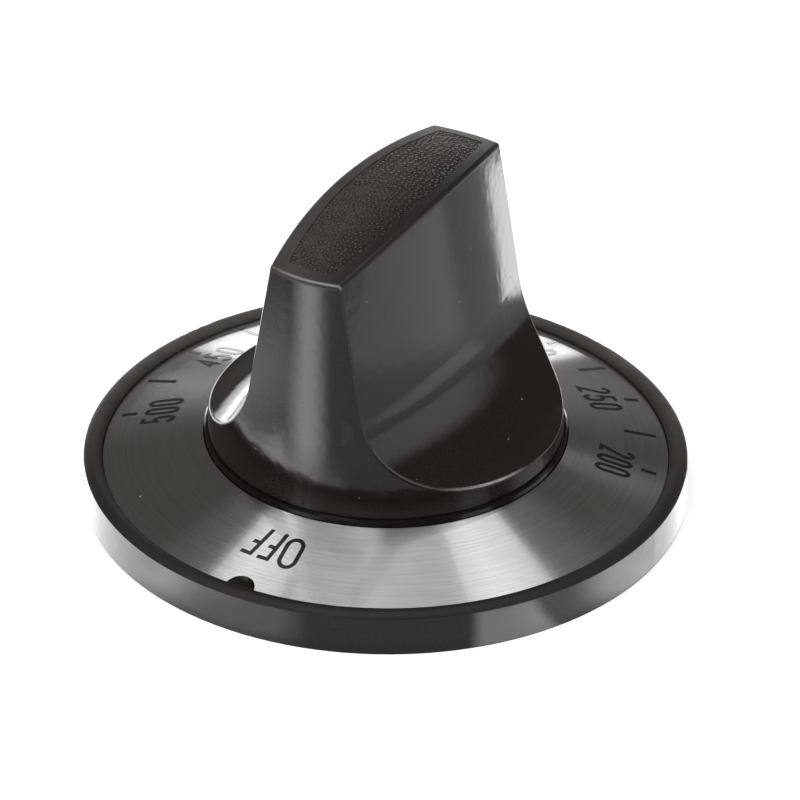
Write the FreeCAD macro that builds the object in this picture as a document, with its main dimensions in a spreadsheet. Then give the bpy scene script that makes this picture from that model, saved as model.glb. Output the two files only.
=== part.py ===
import FreeCAD, Part
import math
import os

import Sketcher

# Oven control knob: a black moulding with a skirt, a hub and a grip blade between two finger scoops,
# a conical brushed dial plate on the skirt, and a leaf spring beside the shaft socket.
# The origin is the centre of the skirt's foot, +Z points along the shaft at the user, -Y at OFF.

doc = FreeCAD.newDocument("oven_knob")

# Driving dimensions, in millimetres and degrees.
sizes = [
    ("skirt_radius", "31.75", "widest radius, at the foot of the skirt"),
    ("skirt_height", "4.6", "crest of the rim lip above the foot"),
    ("skirt_draft", "2.0", "taper of the rim's outer wall"),
    ("skirt_wall", "1.9", "thickness of the plate under the dial"),
    ("lip_width", "1.9", "width of the rim lip"),
    ("lip_crown", "0.5", "rise of the lip's domed top over its sides"),
    ("dial_slope", "14.8", "slope of the dial's cone"),
    ("dial_thickness", "0.8", "sheet thickness of the dial"),
    ("dial_drop", "0.67", "dial's outer edge below the lip's crest"),
    ("dial_fit", "0.1", "clearance round the dial's edges"),
    ("key_radius", "1.5", "half-round key that fills the dial's notch"),
    ("key_drop", "0.55", "top of the key below the lip's crest"),
    ("collar_radius", "19.02", "collar that centres the dial"),
    ("collar_rise", "0.75", "collar's top above the dial's inner edge"),
    ("collar_bevel", "0.2", "bevel on the collar's top edge"),
    ("hub_step", "0.39", "ledge from the collar in to the hub wall"),
    ("hub_draft", "3.5", "taper of the hub wall"),
    ("crown_height", "35.3", "top of the grip's arch"),
    ("crown_radius", "84.8", "arch of the grip's top along its length"),
    ("crown_shift", "1.1", "highest line of the arch, from the axis away from OFF"),
    ("blade_half", "5.46", "half the grip's thickness at the crown"),
    ("blade_draft", "9.7", "taper of the grip's flat sides"),
    ("blade_bulge", "77.4", "radius of the grip's sides seen from above"),
    ("scoop_floor", "9.46", "lowest level of the finger scoops"),
    ("scoop_radius", "10.84", "curve from the grip's side to the scoop floor"),
    ("grip_round", "0.45", "radius on the grip's edges"),
    ("field_border", "1.35", "smooth border round the sunk field on the crown"),
    ("field_depth", "0.12", "depth of the sunk field"),
    ("core_wall", "2.3", "wall left round the hollow of the hub"),
    ("core_roof", "6.9", "roof of the hollow of the hub"),
    ("boss_radius", "6.2", "boss round the shaft socket"),
    ("boss_foot", "1.2", "end of the boss above the foot of the skirt"),
    ("rib_width", "1.8", "ribs from the boss out under the skirt"),
    ("rib_foot", "1.6", "lower edge of the ribs"),
    ("rib_count", "4", "number of ribs"),
    ("pocket_near", "7.3", "core pocket in the grip, side towards the shaft"),
    ("pocket_far", "14.2", "core pocket, side towards the grip's end"),
    ("pocket_mouth_half", "5.5", "half width of the core pocket at its mouth"),
    ("pocket_roof_half", "2.7", "half width of the core pocket at its roof"),
    ("pocket_roof", "30", "roof of the core pocket"),
    ("shaft_radius", "3.175", "round of the D-shaped shaft"),
    ("shaft_flat", "1.585", "flat of the shaft, from its axis"),
    ("shaft_fit", "0.05", "clearance round the shaft"),
    ("socket_depth", "16", "depth of the shaft socket from the boss's end"),
    ("slot_depth", "1.3", "depth of the spring slot behind the flat"),
    ("spring_width", "4.0", "width of the leaf spring"),
    ("spring_fit", "0.1", "clearance at each side of the spring"),
    ("spring_thickness", "0.4", "sheet thickness of the spring"),
    ("spring_reach", "10.5", "length of the spring's bow inside the slot"),
    ("spring_tab", "2.4", "tab of the spring across the boss's end"),
    ("spring_bend", "0.4", "outer radius of the spring's bend"),
]
sheet = doc.addObject("Spreadsheet::Sheet", "Sizes")
for row, (alias, number, note) in enumerate(sizes, 1):
    sheet.set(f"A{row}", note)
    sheet.set(f"B{row}", number)
    sheet.setAlias(f"B{row}", alias)
doc.recompute()

# Sizes that follow from the driving ones.
layout = doc.addObject("App::VarSet", "Layout")
derived = [
    ("lip_side", "Sizes.skirt_height - Sizes.lip_crown"),
    ("lip_outer", "Sizes.skirt_radius - lip_side * tan(Sizes.skirt_draft)"),
    ("lip_inner", "lip_outer - Sizes.lip_width"),
    ("lip_dome", "(Sizes.lip_width ^ 2 / 4 + Sizes.lip_crown ^ 2) / (2 * Sizes.lip_crown)"),
    ("dial_outer", "lip_inner - Sizes.dial_fit"),
    ("dial_inner", "Sizes.collar_radius + Sizes.dial_fit"),
    ("dial_edge", "Sizes.skirt_height - Sizes.dial_drop"),
    ("dial_peak", "dial_edge + (dial_outer - dial_inner) * tan(Sizes.dial_slope)"),
    ("dial_depth", "Sizes.dial_thickness / cos(Sizes.dial_slope)"),
    ("seat_edge", "dial_edge - dial_depth - Sizes.dial_fit * tan(Sizes.dial_slope)"),
    ("seat_peak", "dial_peak - dial_depth + Sizes.dial_fit * tan(Sizes.dial_slope)"),
    ("plate_depth", "Sizes.skirt_wall / cos(Sizes.dial_slope)"),
    ("under_edge", "seat_edge - plate_depth"),
    ("collar_top", "dial_peak + Sizes.collar_rise"),
    ("hub_foot", "Sizes.collar_radius - Sizes.hub_step"),
    ("hub_top", "hub_foot - (Sizes.crown_height - collar_top) * tan(Sizes.hub_draft)"),
    ("core_top", "hub_foot - Sizes.core_wall"),
    ("core_mouth", "core_top + Sizes.core_roof * tan(Sizes.hub_draft)"),
    ("under_core", "under_edge + (lip_inner - core_mouth) * tan(Sizes.dial_slope)"),
    ("rib_end", "lip_inner - (Sizes.rib_foot - under_edge) / tan(Sizes.dial_slope)"),
    ("roof_root", "(Sizes.core_roof + Sizes.scoop_floor) / 2"),
    ("over", "Sizes.crown_height + Sizes.lip_width"),
    ("scoop_start", "Sizes.scoop_floor + Sizes.scoop_radius * (1 - sin(Sizes.blade_draft))"),
    ("scoop_side", "Sizes.blade_half + (Sizes.crown_height - scoop_start) * tan(Sizes.blade_draft)"),
    ("scoop_low", "scoop_side + Sizes.scoop_radius * cos(Sizes.blade_draft)"),
    ("scoop_over", "Sizes.blade_half - (over - Sizes.crown_height) * tan(Sizes.blade_draft)"),
    ("bulge_axis", "Sizes.blade_half - Sizes.blade_bulge"),
    ("clear", "scoop_low + Sizes.lip_width"),
    ("crown_axis", "Sizes.crown_height - Sizes.crown_radius"),
    ("crown_edge", "crown_axis + sqrt(Sizes.crown_radius ^ 2 - clear ^ 2)"),
    ("crown_front", "Sizes.crown_shift - clear"),
    ("crown_back", "Sizes.crown_shift + clear"),
    ("field_radius", "Sizes.blade_bulge - Sizes.field_border"),
    ("field_end", "hub_top - Sizes.field_border"),
    ("field_x", "(field_radius ^ 2 - bulge_axis ^ 2 - field_end ^ 2) / (-2 * bulge_axis)"),
    ("field_y", "sqrt(field_end ^ 2 - field_x ^ 2)"),
    ("field_floor", "Sizes.crown_radius - Sizes.field_depth"),
    ("field_edge", "crown_axis + sqrt(field_floor ^ 2 - clear ^ 2)"),
    ("socket_radius", "Sizes.shaft_radius + Sizes.shaft_fit"),
    ("socket_flat", "Sizes.shaft_flat + Sizes.shaft_fit"),
    ("socket_corner", "sqrt(socket_radius ^ 2 - socket_flat ^ 2)"),
    ("slot_half", "Sizes.spring_width / 2 + Sizes.spring_fit"),
    ("slot_back", "socket_flat + Sizes.slot_depth"),
    ("slot_length", "Sizes.spring_reach + Sizes.spring_thickness + Sizes.spring_fit"),
    ("bow_rise", "slot_back - Sizes.shaft_flat - Sizes.spring_thickness"),
    ("bow_inner", "(Sizes.spring_reach ^ 2 / 4 + bow_rise ^ 2) / (2 * bow_rise)"),
    ("bow_outer", "bow_inner + Sizes.spring_thickness"),
    ("bow_axis", "Sizes.shaft_flat + bow_outer"),
    ("bow_top", "Sizes.boss_foot + Sizes.spring_reach"),
    ("bow_middle", "Sizes.boss_foot + Sizes.spring_reach / 2"),
    ("bow_tip", "bow_axis + (slot_back - bow_axis) * bow_outer / bow_inner"),
    ("bow_tip_top", "bow_middle + Sizes.spring_reach / 2 * bow_outer / bow_inner"),
    ("tab_foot", "Sizes.boss_foot - Sizes.spring_thickness"),
    ("tab_root", "bow_axis - sqrt(bow_outer ^ 2 - (Sizes.spring_reach / 2 + Sizes.spring_thickness) ^ 2)"),
    ("tab_end", "slot_back + Sizes.spring_tab"),
]
for name, expression in derived:
    layout.addProperty("App::PropertyFloat", name, "Layout")
    layout.setExpression(name, expression)
doc.recompute()

gauge = doc.addObject("App::VarSet", "Gauge")
gauge.addProperty("App::PropertyFloat", "reading", "Gauge")


def value(expression):
    gauge.setExpression("reading", expression)
    doc.recompute([gauge])
    return gauge.reading


def new_body(label):
    body = doc.addObject("PartDesign::Body", label)
    body.Label = label
    return body


def datum(body, role):
    return next(feature for feature in body.Origin.OriginFeatures if feature.Role == role)


def arc_middle(start, end, radius, side, longer):
    chord = end - start
    rise = math.sqrt(radius ** 2 - (chord.Length / 2) ** 2)
    sagitta = radius + rise if longer else radius - rise
    left = FreeCAD.Vector(-chord.y, chord.x, 0).normalize()
    return (start + end) * 0.5 + left * (side * sagitta)


def new_sketch(body, name, role, lift=None, turn=None):
    sketch = body.newObject("Sketcher::SketchObject", name)
    sketch.AttachmentSupport = (datum(body, role), [""])
    sketch.MapMode = "FlatFace"
    if turn:
        sketch.AttachmentOffset = FreeCAD.Placement(FreeCAD.Vector(), turn)
    if lift:
        sketch.setExpression("AttachmentOffset.Base.z", lift)
    return sketch


# A circle whose centre is a pair of expressions.
def disc(body, name, role, centre, radius, lift=None):
    sketch = new_sketch(body, name, role, lift)
    middle = FreeCAD.Vector(value(centre[0]), value(centre[1]), 0)
    edge = sketch.addGeometry(Part.Circle(middle, FreeCAD.Vector(0, 0, 1), value(radius)))
    place_point(sketch, edge, 3, middle, centre)
    rule = sketch.addConstraint(Sketcher.Constraint("Radius", edge, value(radius)))
    sketch.setExpression(f"Constraints[{rule}]", radius)
    return sketch


# A closed outline: each corner is a pair of expressions, and the edge that leaves a corner is
# straight unless arcs gives its radius, the side it bulges to (1 left, -1 right) and whether it is
# the longer arc.
def outline(body, name, role, corners, arcs={}, lift=None, turn=None):
    sketch = new_sketch(body, name, role, lift, turn)
    points = [FreeCAD.Vector(value(across), value(up), 0) for across, up in corners]
    ends = []
    for index, start in enumerate(points):
        end = points[(index + 1) % len(points)]
        if index not in arcs:
            edge = sketch.addGeometry(Part.LineSegment(start, end))
            ends.append((edge, 1, 2))
            continue
        radius, side, longer = arcs[index]
        middle = arc_middle(start, end, value(radius), side, longer)
        edge = sketch.addGeometry(Part.Arc(start, middle, end))
        first_end = sketch.getPoint(edge, 1)
        runs_forward = first_end.distanceToPoint(start) < first_end.distanceToPoint(end)
        ends.append((edge, 1, 2) if runs_forward else (edge, 2, 1))
        rule = sketch.addConstraint(Sketcher.Constraint("Radius", edge, value(radius)))
        sketch.setExpression(f"Constraints[{rule}]", radius)
    for index, (edge, first, last) in enumerate(ends):
        after, after_first, _ = ends[(index + 1) % len(ends)]
        sketch.addConstraint(Sketcher.Constraint("Coincident", edge, last, after, after_first))
        place_point(sketch, edge, first, points[index], corners[index])
    return sketch


def place_point(sketch, edge, end, point, corner):
    for kind, axis, number, expression in (
        ("DistanceX", -2, point.x, corner[0]),
        ("DistanceY", -1, point.y, corner[1]),
    ):
        if expression == "0":
            sketch.addConstraint(Sketcher.Constraint("PointOnObject", edge, end, axis))
            continue
        rule = sketch.addConstraint(Sketcher.Constraint(kind, -1, 1, edge, end, number))
        sketch.setExpression(f"Constraints[{rule}]", expression)


def feature(body, kind, name, sketch, **settings):
    made = body.newObject(f"PartDesign::{kind}", name)
    made.Profile = sketch
    for key, setting in settings.items():
        if isinstance(setting, str) and key in ("Length", "Angle"):
            made.setExpression(key, setting)
        else:
            setattr(made, key, setting)
    doc.recompute()
    return made


def round_edges(body, name, base, radius, wanted):
    fillet = body.newObject("PartDesign::Fillet", name)
    names = [f"Edge{index}" for index, edge in enumerate(base.Shape.Edges, 1) if wanted(base.Shape, edge)]
    fillet.Base = (base, names)
    fillet.setExpression("Radius", radius)
    doc.recompute()
    return fillet


# An edge above one height where two faces meet at a real angle, not a seam or a tangent line.
def sharp_edge_above(height):
    def wanted(shape, edge):
        if edge.BoundBox.ZMin < height:
            return False
        faces = shape.ancestorsOfType(edge, Part.Face)
        if len(faces) < 2:
            return False
        middle = edge.valueAt((edge.FirstParameter + edge.LastParameter) / 2)
        normals = [face.normalAt(*face.Surface.parameter(middle)) for face in faces[:2]]
        return normals[0].getAngle(normals[1]) > sharp_angle

    return wanted


near = 1e-3
sharp_angle = math.radians(15)


def make_knob_body():
    body = new_body("knob_body")

    # Turned section of skirt, hub and boss, from the boss's end outwards and up to the crown.
    section = outline(body, "Section", "XZ_Plane", [
        ("0", "Sizes.boss_foot"),
        ("Sizes.boss_radius", "Sizes.boss_foot"),
        ("Sizes.boss_radius", "Sizes.core_roof"),
        ("Layout.core_top", "Sizes.core_roof"),
        ("Layout.core_mouth", "Layout.under_core"),
        ("Layout.lip_inner", "Layout.under_edge"),
        ("Layout.lip_inner", "0"),
        ("Sizes.skirt_radius", "0"),
        ("Layout.lip_outer", "Layout.lip_side"),
        ("Layout.lip_inner", "Layout.lip_side"),
        ("Layout.lip_inner", "Layout.seat_edge"),
        ("Sizes.collar_radius", "Layout.seat_peak"),
        ("Sizes.collar_radius", "Layout.collar_top - Sizes.collar_bevel"),
        ("Sizes.collar_radius - Sizes.collar_bevel", "Layout.collar_top"),
        ("Layout.hub_foot", "Layout.collar_top"),
        ("Layout.hub_top", "Sizes.crown_height"),
        ("0", "Sizes.crown_height"),
    ], arcs={8: ("Layout.lip_dome", -1, False)})
    turned = feature(body, "Revolution", "Turned", section, ReferenceAxis=(section, ["V_Axis"]), Angle=360)

    # Finger scoops: the grip's side, curved out to the scoop floor, swept round a far upright axis
    # so that the grip is thickest in the middle of its length.
    scoop = outline(body, "ScoopSection", "XZ_Plane", [
        ("Layout.scoop_over", "Layout.over"),
        ("Layout.scoop_side", "Layout.scoop_start"),
        ("Layout.scoop_low", "Sizes.scoop_floor"),
        ("Layout.clear", "Sizes.scoop_floor"),
        ("Layout.clear", "Layout.over"),
    ], arcs={1: ("Sizes.scoop_radius", -1, False)})
    far_axis = Part.LineSegment(FreeCAD.Vector(value("Layout.bulge_axis"), 0, 0),
                                FreeCAD.Vector(value("Layout.bulge_axis"), value("Layout.over"), 0))
    axis_line = scoop.addGeometry(far_axis, True)
    place_point(scoop, axis_line, 1, far_axis.StartPoint, ("Layout.bulge_axis", "0"))
    place_point(scoop, axis_line, 2, far_axis.EndPoint, ("Layout.bulge_axis", "Layout.over"))
    scooped = feature(body, "Groove", "Scoop", scoop, ReferenceAxis=(scoop, ["Axis0"]),
                      Angle="2 * atan(Layout.clear / Sizes.blade_bulge)", Midplane=True)
    other_scoop = body.newObject("PartDesign::Mirrored", "OtherScoop")
    other_scoop.Originals = [scooped]
    other_scoop.MirrorPlane = (datum(body, "YZ_Plane"), [""])
    body.Tip = other_scoop

    # Arched crown along the grip.
    crown = outline(body, "CrownSection", "YZ_Plane", [
        ("Layout.crown_back", "Layout.crown_edge"),
        ("Layout.crown_back", "Layout.over"),
        ("Layout.crown_front", "Layout.over"),
        ("Layout.crown_front", "Layout.crown_edge"),
    ], arcs={3: ("Sizes.crown_radius", 1, False)})
    crowned = feature(body, "Pocket", "Crown", crown, Midplane=True, Length="2 * Layout.clear")

    # Moulded radii on the edges of the grip and the scoops.
    round_edges(body, "GripRounds", crowned, "Sizes.grip_round",
                sharp_edge_above(value("Layout.collar_top + Sizes.hub_step")))

    # Half-round key on the lip at OFF, which fills the dial's notch.
    key = disc(body, "KeySection", "XY_Plane", ("0", "-Layout.lip_inner"), "Sizes.key_radius",
               lift="Layout.under_edge + Layout.plate_depth / 2")
    feature(body, "Pad", "Key", key,
            Length="Sizes.skirt_height - Sizes.key_drop - Layout.under_edge - Layout.plate_depth / 2")

    # Ribs from the boss to the skirt, sunk into the plate above them.
    rib = outline(body, "RibSection", "XZ_Plane", [
        ("Sizes.boss_radius - Sizes.rib_width / 2", "Sizes.rib_foot"),
        ("Layout.rib_end", "Sizes.rib_foot"),
        ("Layout.rib_end", "Sizes.rib_foot + Layout.plate_depth / 2"),
        ("Layout.core_mouth", "Layout.under_core + Layout.plate_depth / 2"),
        ("Layout.core_mouth", "Layout.roof_root"),
        ("Sizes.boss_radius - Sizes.rib_width / 2", "Layout.roof_root"),
    ], turn=FreeCAD.Rotation(FreeCAD.Vector(0, 1, 0), 45))
    ribbed = feature(body, "Pad", "Rib", rib, Length="Sizes.rib_width", Midplane=True)
    ribs = body.newObject("PartDesign::PolarPattern", "Ribs")
    ribs.Originals = [ribbed]
    ribs.Axis = (datum(body, "Z_Axis"), [""])
    ribs.Angle = 360
    ribs.setExpression("Occurrences", "Sizes.rib_count")
    body.Tip = ribs
    doc.recompute()

    # Core pockets that hollow the two ends of the grip from below.
    mouth = outline(body, "PocketMouth", "XY_Plane",
                    pocket_corners("Sizes.pocket_mouth_half"), lift="Sizes.core_roof")
    roof = outline(body, "PocketRoof", "XY_Plane",
                   pocket_corners("Sizes.pocket_roof_half"), lift="Sizes.pocket_roof")
    pocket = feature(body, "SubtractiveLoft", "CorePocket", mouth, Sections=[roof], Ruled=True)
    other_pocket = body.newObject("PartDesign::Mirrored", "OtherCorePocket")
    other_pocket.Originals = [pocket]
    other_pocket.MirrorPlane = (datum(body, "XZ_Plane"), [""])
    body.Tip = other_pocket
    doc.recompute()

    # D-shaped shaft socket with the spring's slot behind its flat.
    socket = outline(body, "SocketSection", "XY_Plane", [
        ("Layout.socket_corner", "Layout.socket_flat"),
        ("-Layout.socket_corner", "Layout.socket_flat"),
    ], arcs={1: ("Layout.socket_radius", -1, True)}, lift="Sizes.boss_foot")
    feature(body, "Pocket", "Socket", socket, Reversed=True, Length="Sizes.socket_depth")
    slot = outline(body, "SlotSection", "XY_Plane", [
        ("-Layout.slot_half", "0"),
        ("Layout.slot_half", "0"),
        ("Layout.slot_half", "Layout.slot_back"),
        ("-Layout.slot_half", "Layout.slot_back"),
    ], lift="Sizes.boss_foot")
    feature(body, "Pocket", "SpringSlot", slot, Reversed=True, Length="Layout.slot_length")

    # Shallow field sunk into the crown, following its arch.
    field = body.newObject("PartDesign::Boolean", "SunkField")
    field.Type = "Cut"
    field.setObjects([make_field_tool()])
    body.Tip = field
    doc.recompute()
    return body


def pocket_corners(half):
    return [
        (f"-{half}", "Sizes.pocket_near"),
        (half, "Sizes.pocket_near"),
        (half, "Sizes.pocket_far"),
        (f"-{half}", "Sizes.pocket_far"),
    ]


# The space that the sunk field takes out: the crown's outline drawn in by the border, above its floor.
def make_field_tool():
    body = new_body("field_tool")
    plan = outline(body, "FieldPlan", "XY_Plane", [
        ("Layout.field_x", "-Layout.field_y"),
        ("Layout.field_x", "Layout.field_y"),
        ("-Layout.field_x", "Layout.field_y"),
        ("-Layout.field_x", "-Layout.field_y"),
    ], arcs={
        0: ("Layout.field_radius", -1, False),
        1: ("Layout.field_end", -1, False),
        2: ("Layout.field_radius", -1, False),
        3: ("Layout.field_end", -1, False),
    })
    feature(body, "Pad", "FieldBlock", plan, Length="Layout.over")
    floor = outline(body, "FieldFloor", "YZ_Plane", [
        ("Layout.crown_front", "-Sizes.skirt_height"),
        ("Layout.crown_back", "-Sizes.skirt_height"),
        ("Layout.crown_back", "Layout.field_edge"),
        ("Layout.crown_front", "Layout.field_edge"),
    ], arcs={2: ("Layout.field_floor", -1, False)})
    feature(body, "Pocket", "FieldCap", floor, Midplane=True, Length="2 * Layout.clear")
    return body


def make_dial_plate():
    body = new_body("dial_plate")
    section = outline(body, "DialSection", "XZ_Plane", [
        ("Layout.dial_outer", "Layout.dial_edge - Layout.dial_depth"),
        ("Layout.dial_outer", "Layout.dial_edge"),
        ("Layout.dial_inner", "Layout.dial_peak"),
        ("Layout.dial_inner", "Layout.dial_peak - Layout.dial_depth"),
    ])
    feature(body, "Revolution", "DialCone", section, ReferenceAxis=(section, ["V_Axis"]), Angle=360)
    notch = disc(body, "NotchSection", "XY_Plane", ("0", "-Layout.lip_inner"),
                 "Sizes.key_radius + Sizes.dial_fit")
    feature(body, "Pocket", "Notch", notch, Reversed=True, Length="Sizes.crown_height")
    return body


def make_shaft_spring():
    body = new_body("shaft_spring")
    leaf = outline(body, "LeafSection", "YZ_Plane", [
        ("Layout.slot_back", "Layout.bow_top"),
        ("Layout.bow_tip", "Layout.bow_tip_top"),
        ("Layout.tab_root", "Layout.tab_foot"),
        ("Layout.tab_end", "Layout.tab_foot"),
        ("Layout.tab_end", "Sizes.boss_foot"),
        ("Layout.slot_back", "Sizes.boss_foot"),
    ], arcs={1: ("Layout.bow_outer", -1, False), 5: ("Layout.bow_inner", 1, False)})
    leafed = feature(body, "Pad", "Leaf", leaf, Midplane=True, Length="Sizes.spring_width")
    tab_root = FreeCAD.Vector(0, value("Layout.tab_root"), value("Layout.tab_foot"))

    def bend_edge(shape, edge):
        return edge.CenterOfMass.distanceToPoint(tab_root) < near

    round_edges(body, "Bend", leafed, "Sizes.spring_bend", bend_edge)
    return body


parts = [make_knob_body(), make_dial_plate(), make_shaft_spring()]
doc.removeObject(gauge.Name)
doc.recompute()

for item in doc.Objects:
    if "Invalid" in item.State or "Error" in item.State:
        raise RuntimeError(f"{item.Label} failed: {item.State}")
for part in parts:
    if part.Shape.isNull() or not part.Shape.isValid() or len(part.Shape.Solids) != 1:
        raise RuntimeError(f"{part.Label} is not one valid solid")

os.makedirs("parts", exist_ok=True)
for part in parts:
    part.Shape.exportStep(f"parts/{part.Label}.step")
    print(part.Label, round(part.Shape.Volume, 2), part.Shape.BoundBox)
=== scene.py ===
import math

import bmesh
import bpy
from mathutils import Matrix, Vector


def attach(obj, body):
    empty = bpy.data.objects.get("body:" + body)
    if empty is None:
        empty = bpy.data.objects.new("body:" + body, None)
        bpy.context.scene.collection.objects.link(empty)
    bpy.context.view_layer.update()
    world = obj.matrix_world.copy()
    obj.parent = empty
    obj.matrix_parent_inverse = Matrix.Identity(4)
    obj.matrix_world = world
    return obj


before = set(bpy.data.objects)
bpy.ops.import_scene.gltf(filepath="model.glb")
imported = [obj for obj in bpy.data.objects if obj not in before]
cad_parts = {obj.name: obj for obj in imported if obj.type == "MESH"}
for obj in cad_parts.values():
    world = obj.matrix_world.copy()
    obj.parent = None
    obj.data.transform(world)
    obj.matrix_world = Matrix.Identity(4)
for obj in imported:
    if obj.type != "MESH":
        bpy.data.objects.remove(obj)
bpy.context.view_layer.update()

mm = 0.001
scene = bpy.context.scene
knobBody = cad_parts["knob_body"]
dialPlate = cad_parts["dial_plate"]
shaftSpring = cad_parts["shaft_spring"]
print("frame:", sorted(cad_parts))


def direction(azimuth, elevation):
    a, e = math.radians(azimuth), math.radians(elevation)
    return Vector((math.sin(a) * math.cos(e), -math.cos(a) * math.cos(e), math.sin(e)))


# small helpers for node trees
def newNode(tree, kind, values=None, **settings):
    node = tree.nodes.new(kind)
    for name, value in settings.items():
        setattr(node, name, value)
    for name, value in (values or {}).items():
        socket = node.inputs[name]
        if isinstance(value, bpy.types.NodeSocket):
            tree.links.new(value, socket)
        else:
            socket.default_value = value
    return node


def maths(tree, operation, first, second=0.0, third=0.0):
    return newNode(tree, "ShaderNodeMath", {0: first, 1: second, 2: third}, operation=operation).outputs[0]


def times(tree, *values):
    result = values[0]
    for value in values[1:]:
        result = maths(tree, "MULTIPLY", result, value)
    return result


def mixColour(tree, share, first, second):
    return newNode(tree, "ShaderNodeMix", {0: share, 6: first, 7: second}, data_type="RGBA").outputs[2]


def mixValue(tree, share, first, second):
    return newNode(tree, "ShaderNodeMix", {0: share, 2: first, 3: second}).outputs[0]


def clearTree(owner):
    owner.use_nodes = True
    owner.node_tree.nodes.clear()
    return owner.node_tree


def newGroup(name, kind, inputs, outputs):
    group = bpy.data.node_groups.new(name, kind)
    for label, socketType, default in inputs:
        socket = group.interface.new_socket(label, in_out="INPUT", socket_type=socketType)
        if default is not None:
            socket.default_value = default
    for label, socketType in outputs:
        group.interface.new_socket(label, in_out="OUTPUT", socket_type=socketType)
    entry = group.nodes.new("NodeGroupInput")
    result = group.nodes.new("NodeGroupOutput")
    return group, entry, result


def useGroup(tree, group, values):
    return newNode(tree, "ShaderNodeGroup", values, node_tree=group)


# camera, at the photograph's own angle
view = {
    "azimuth": 29.289,
    "elevation": 31.973,
    "distance": 497.1 * mm,
    "target": Vector((1.262, 0.708, 10.09)) * mm,
    "lens": 214.8,
    "sensor": 36,
    "nearest": 10 * mm,
    "roll": 0.52,
}


def makeCamera():
    data = bpy.data.cameras.new("camera")
    data.lens = view["lens"]
    data.sensor_width = view["sensor"]
    data.clip_start = view["nearest"]
    camera = bpy.data.objects.new("camera", data)
    scene.collection.objects.link(camera)
    towards = direction(view["azimuth"], view["elevation"])
    turn = towards.to_track_quat("Z", "Y").to_matrix().to_4x4()
    roll = Matrix.Rotation(math.radians(view["roll"]), 4, "Z")
    camera.matrix_world = Matrix.Translation(view["target"] + towards * view["distance"]) @ turn @ roll
    scene.camera = camera


makeCamera()
scene.view_settings.view_transform = "Standard"
print("camera set")

# studio: pale floor, dim warm room, soft-edged boxes overhead and round it, light panels low round the knob
studio = {
    "floorSize": 6.0,
    "floorColour": (0.86, 0.86, 0.86, 1),
    "floorGlow": 0.66,  # what the camera sees on top of the lamplight
    "mirrorGlow": 0.035,  # what reflections see on top of it
    "room": 0.08,
    "roomColour": (1.0, 0.94, 0.88, 1),
    "softboxes": [  # turn from the camera, elevation, distance, width, height, soft edge, level
        ("frontLeft", -48, 22, 0.90, 0.36, 0.60, 0.3, 1.30),
        ("frontRight", 55, 20, 0.90, 0.36, 0.60, 0.3, 1.20),
        ("rightWall", 98, 10, 0.90, 0.72, 0.66, 0.65, 0.88),
        ("backStrip", 180, 4.2, 0.90, 0.38, 0.165, 0.15, 2.6),
        ("backLeftStrip", -159.5, 0.5, 0.90, 0.17, 0.13, 0.2, 2.2),
        ("backGlow", 180, 17, 0.95, 0.90, 0.44, 0.7, 0.16),
    ],
    "ceiling": 750,
    "ceilingStep": 5,  # no two boxes in one plane
    "ceilingBoxes": [  # right, back, turn, width, length, narrow end, soft edge, level
        ("overheadFront", -210, -330, 0, 480, 150, 1.0, 0.55, 11.1),
        ("overheadMiddle", -12, 50, 0, 720, 800, 0.27, 0.05, 0.74),
        ("overheadLeft", -325, 125, -21.5, 306, 804, 0.40, 0.07, 1.36),
        ("overheadRight", 297, 125, 21.1, 344, 804, 0.40, 0.05, 1.32),
        ("keyLeft", -510, -40, 0, 150, 130, 1.0, 1.0, 20.0),
        ("keyRight", 345, -40, 0, 160, 130, 1.0, 1.0, 12.0),
        ("glowLeft", -230, 585, -45, 320, 420, 1.0, 1.0, 0.19),
        ("glowRight", 232, 590, 45, 340, 420, 1.0, 1.0, 0.25),
        ("glowWedge", 380, 1075, 71, 260, 260, 1.0, 0.6, 0.33),
    ],
    "panelStep": 0.012,
    "panelEnds": 0.4,  # softest that a panel's ends get
    "panels": [  # on the floor, for reflections: right, back, turn, width, length, narrow end, soft edge, level
        ("frontLeftPanel", -51, -49.5, -55, 52, 77, 0.38, 0.95, 3.7),
        ("rimLeftPanel", -21, -29.5, 55, 15, 26, 1.0, 0.7, 1.25),
        ("leftPanel", -31, -12, 0, 24, 35, 1.0, 0.75, 2.8),
        ("farLeftPanel", -56, -16, 0, 48, 52, 1.0, 0.9, 1.0),
        ("frontRightPanel", 15.0, -30.8, -55, 15, 11, 1.0, 0.6, 2.9),
        ("rimRightPanel", 25, -26, -48, 16, 24, 1.0, 0.7, 0.75),
        ("rightPanel", 31, -12, 0, 22, 32, 1.0, 0.55, 2.6),
        ("farRightPanel", 87, 12, 28, 64, 56, 1.0, 0.35, 0.50),
        ("backLeftPanel", -32, 75, 0, 60, 110, 1.0, 0.2, 3.2),
        ("backFarPanel", -118, 380, 16.3, 150, 530, 1.0, 0.1, 2.2),
        ("backRightPanel", 48, 48.5, -43, 17, 62, 1.0, 0.2, 3.2),
    ],
}


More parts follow.
